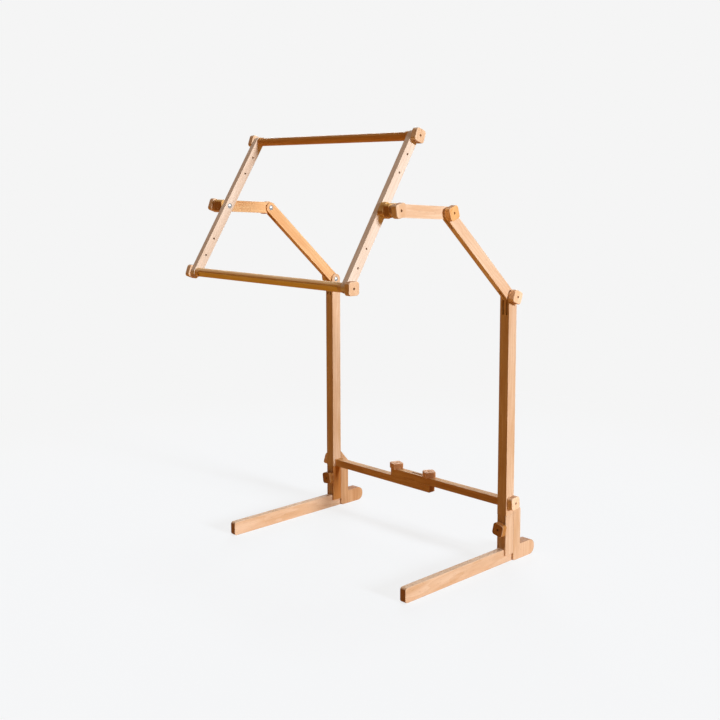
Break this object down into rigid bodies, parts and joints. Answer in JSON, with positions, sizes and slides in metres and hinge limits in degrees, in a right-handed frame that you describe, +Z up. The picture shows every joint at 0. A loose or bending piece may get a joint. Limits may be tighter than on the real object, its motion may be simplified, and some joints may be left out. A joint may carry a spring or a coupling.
{
  "type": "embroidery floor stand",
  "caption": "Wooden floor stand for embroidery: two feet and posts, a sliding crossbar, folding arms and a tilting scroll frame held by square knobs.",
  "frame": {"origin": "on the floor, at the middle of the stand's width and length", "axes": "+X to the sitter's right, across the stand; +Y to the back, away from the sitter; +Z up"},
  "size_m": [0.7966, 0.7176, 1.2305],
  "materials": {
    "frame_wood": "matt oil",
    "slat_wood": "matt oil",
    "knob_wood": "matt oil",
    "roller_wood": "matt oil",
    "steel": "zinc plated"
  },
  "bodies": {
    "left_base": {"left_foot": "frame_wood", "left_heel_block": "frame_wood", "left_inner_cheek": "frame_wood", "left_outer_cheek": "frame_wood"},
    "left_post": {"left_post": "frame_wood", "left_crossbar": "frame_wood", "left_crossbar_stud": "steel", "left_clamp_bolt": "steel", "right_width_bolt": "steel", "left_shoulder_bolt": "steel"},
    "right_post": {"right_post": "frame_wood", "right_crossbar": "frame_wood", "right_crossbar_stud": "steel", "right_clamp_bolt": "steel", "left_width_bolt": "steel", "right_shoulder_bolt": "steel"},
    "right_base": {"right_foot": "frame_wood", "right_heel_block": "frame_wood", "right_inner_cheek": "frame_wood", "right_outer_cheek": "frame_wood"},
    "left_lower_arm": {"left_lower_arm": "frame_wood", "left_elbow_bolt": "steel"},
    "right_lower_arm": {"right_lower_arm": "frame_wood", "right_elbow_bolt": "steel"},
    "left_upper_arm": {"left_upper_arm": "frame_wood"},
    "right_upper_arm": {"right_upper_arm": "frame_wood"},
    "left_frame_side": {"left_slat": "slat_wood", "left_inner_spacer": "knob_wood", "left_outer_spacer": "knob_wood", "left_tilt_bolt": "steel", "left_tilt_washer": "steel"},
    "right_frame_side": {"right_slat": "slat_wood", "right_inner_spacer": "knob_wood", "right_outer_spacer": "knob_wood", "right_tilt_bolt": "steel", "right_tilt_washer": "steel", "top_right_stud": "steel", "bottom_right_stud": "steel"},
    "top_roller": {"top_roller": "roller_wood", "top_batten": "slat_wood", "top_left_stud": "steel"},
    "bottom_roller": {"bottom_roller": "roller_wood", "bottom_batten": "slat_wood", "bottom_left_stud": "steel"},
    "left_clamp_knob": {"left_clamp_knob": "knob_wood"},
    "left_crossbar_knob": {"left_crossbar_knob": "knob_wood"},
    "left_width_knob": {"left_width_knob": "knob_wood"},
    "left_shoulder_knob": {"left_shoulder_knob": "knob_wood"},
    "left_elbow_knob": {"left_elbow_knob": "knob_wood"},
    "left_tilt_knob": {"left_tilt_knob": "knob_wood"},
    "right_clamp_knob": {"right_clamp_knob": "knob_wood"},
    "right_crossbar_knob": {"right_crossbar_knob": "knob_wood"},
    "right_width_knob": {"right_width_knob": "knob_wood"},
    "right_shoulder_knob": {"right_shoulder_knob": "knob_wood"},
    "right_elbow_knob": {"right_elbow_knob": "knob_wood"},
    "right_tilt_knob": {"right_tilt_knob": "knob_wood"},
    "top_left_knob": {"top_left_knob": "knob_wood"},
    "top_right_knob": {"top_right_knob": "knob_wood"},
    "bottom_left_knob": {"bottom_left_knob": "knob_wood"},
    "bottom_right_knob": {"bottom_right_knob": "knob_wood"}
  },
  "joints": [
    {"name": "height", "type": "slide", "parent": "left_base", "child": "left_post", "axis": [0, 0, 1], "range_m": [0, 0.04]},
    {"name": "width", "type": "slide", "parent": "left_post", "child": "right_post", "axis": [1, 0, 0], "range_m": [0, 0.07]},
    {"name": "right_height", "type": "slide", "parent": "right_post", "child": "right_base", "axis": [0, 0, -1], "range_m": [0, 0.04]},
    {"name": "shoulder", "type": "hinge", "parent": "left_post", "child": "left_lower_arm", "pos_m": [-0.36425, 0.24032, 0.772], "axis": [1, 0, 0], "range_deg": [-58, 85]},
    {"name": "right_shoulder", "type": "hinge", "parent": "right_post", "child": "right_lower_arm", "pos_m": [0.36425, 0.24032, 0.772], "axis": [1, 0, 0], "range_deg": [-58, 85]},
    {"name": "elbow", "type": "hinge", "parent": "left_lower_arm", "child": "left_upper_arm", "pos_m": [-0.36425, -0.02595, 1.01175], "axis": [1, 0, 0], "range_deg": [-90, 90]},
    {"name": "right_elbow", "type": "hinge", "parent": "right_lower_arm", "child": "right_upper_arm", "pos_m": [0.36425, -0.02595, 1.01175], "axis": [1, 0, 0], "range_deg": [-90, 90]},
    {"name": "tilt", "type": "hinge", "parent": "left_upper_arm", "child": "left_frame_side", "pos_m": [-0.36425, -0.22094, 1.02265], "axis": [1, 0, 0], "continuous": true},
    {"name": "right_tilt", "type": "hinge", "parent": "right_upper_arm", "child": "right_frame_side", "pos_m": [0.36425, -0.22094, 1.02265], "axis": [1, 0, 0], "continuous": true},
    {"name": "top_roller_turn", "type": "hinge", "parent": "left_frame_side", "child": "top_roller", "pos_m": [0, -0.10324, 1.21029], "axis": [1, 0, 0], "continuous": true},
    {"name": "bottom_roller_turn", "type": "hinge", "parent": "left_frame_side", "child": "bottom_roller", "pos_m": [0, -0.33865, 0.83501], "axis": [1, 0, 0], "continuous": true},
    {"name": "left_clamp_knob_turn", "type": "hinge", "parent": "left_post", "child": "left_clamp_knob", "pos_m": [-0.36425, 0.21377, 0.101], "axis": [0, -1, 0], "continuous": true},
    {"name": "left_crossbar_knob_turn", "type": "hinge", "parent": "left_post", "child": "left_crossbar_knob", "pos_m": [-0.3893, 0.24482, 0.1553], "axis": [-1, 0, 0], "continuous": true},
    {"name": "left_width_knob_turn", "type": "hinge", "parent": "right_post", "child": "left_width_knob", "pos_m": [-0.075, 0.24482, 0.1958], "axis": [0, 0, 1], "continuous": true},
    {"name": "left_shoulder_knob_turn", "type": "hinge", "parent": "left_post", "child": "left_shoulder_knob", "pos_m": [-0.3893, 0.24032, 0.772], "axis": [-1, 0, 0], "continuous": true},
    {"name": "left_elbow_knob_turn", "type": "hinge", "parent": "left_lower_arm", "child": "left_elbow_knob", "pos_m": [-0.38355, -0.02595, 1.01175], "axis": [-1, 0, 0], "continuous": true},
    {"name": "left_tilt_knob_turn", "type": "hinge", "parent": "left_frame_side", "child": "left_tilt_knob", "pos_m": [-0.3799, -0.22094, 1.02265], "axis": [-1, 0, 0], "continuous": true},
    {"name": "right_clamp_knob_turn", "type": "hinge", "parent": "right_post", "child": "right_clamp_knob", "pos_m": [0.36425, 0.21377, 0.101], "axis": [0, -1, 0], "continuous": true},
    {"name": "right_crossbar_knob_turn", "type": "hinge", "parent": "right_post", "child": "right_crossbar_knob", "pos_m": [0.3893, 0.24482, 0.178], "axis": [1, 0, 0], "continuous": true},
    {"name": "right_width_knob_turn", "type": "hinge", "parent": "left_post", "child": "right_width_knob", "pos_m": [0.064, 0.24482, 0.1958], "axis": [0, 0, 1], "continuous": true},
    {"name": "right_shoulder_knob_turn", "type": "hinge", "parent": "right_post", "child": "right_shoulder_knob", "pos_m": [0.3893, 0.24032, 0.772], "axis": [1, 0, 0], "continuous": true},
    {"name": "right_elbow_knob_turn", "type": "hinge", "parent": "right_lower_arm", "child": "right_elbow_knob", "pos_m": [0.38355, -0.02595, 1.01175], "axis": [1, 0, 0], "continuous": true},
    {"name": "right_tilt_knob_turn", "type": "hinge", "parent": "right_frame_side", "child": "right_tilt_knob", "pos_m": [0.3799, -0.22094, 1.02265], "axis": [1, 0, 0], "continuous": true},
    {"name": "top_left_knob_turn", "type": "hinge", "parent": "top_roller", "child": "top_left_knob", "pos_m": [-0.33385, -0.10324, 1.21029], "axis": [-1, 0, 0], "continuous": true},
    {"name": "top_right_knob_turn", "type": "hinge", "parent": "right_frame_side", "child": "top_right_knob", "pos_m": [0.33385, -0.10324, 1.21029], "axis": [1, 0, 0], "continuous": true},
    {"name": "bottom_left_knob_turn", "type": "hinge", "parent": "bottom_roller", "child": "bottom_left_knob", "pos_m": [-0.33385, -0.33865, 0.83501], "axis": [-1, 0, 0], "continuous": true},
    {"name": "bottom_right_knob_turn", "type": "hinge", "parent": "right_frame_side", "child": "bottom_right_knob", "pos_m": [0.33385, -0.33865, 0.83501], "axis": [1, 0, 0], "continuous": true}
  ],
  "couplings": [
    {"joint": "right_height", "follows": "height", "ratio": 1},
    {"joint": "right_shoulder", "follows": "shoulder", "ratio": 1},
    {"joint": "right_elbow", "follows": "elbow", "ratio": 1},
    {"joint": "right_tilt", "follows": "tilt", "ratio": 1}
  ]
}
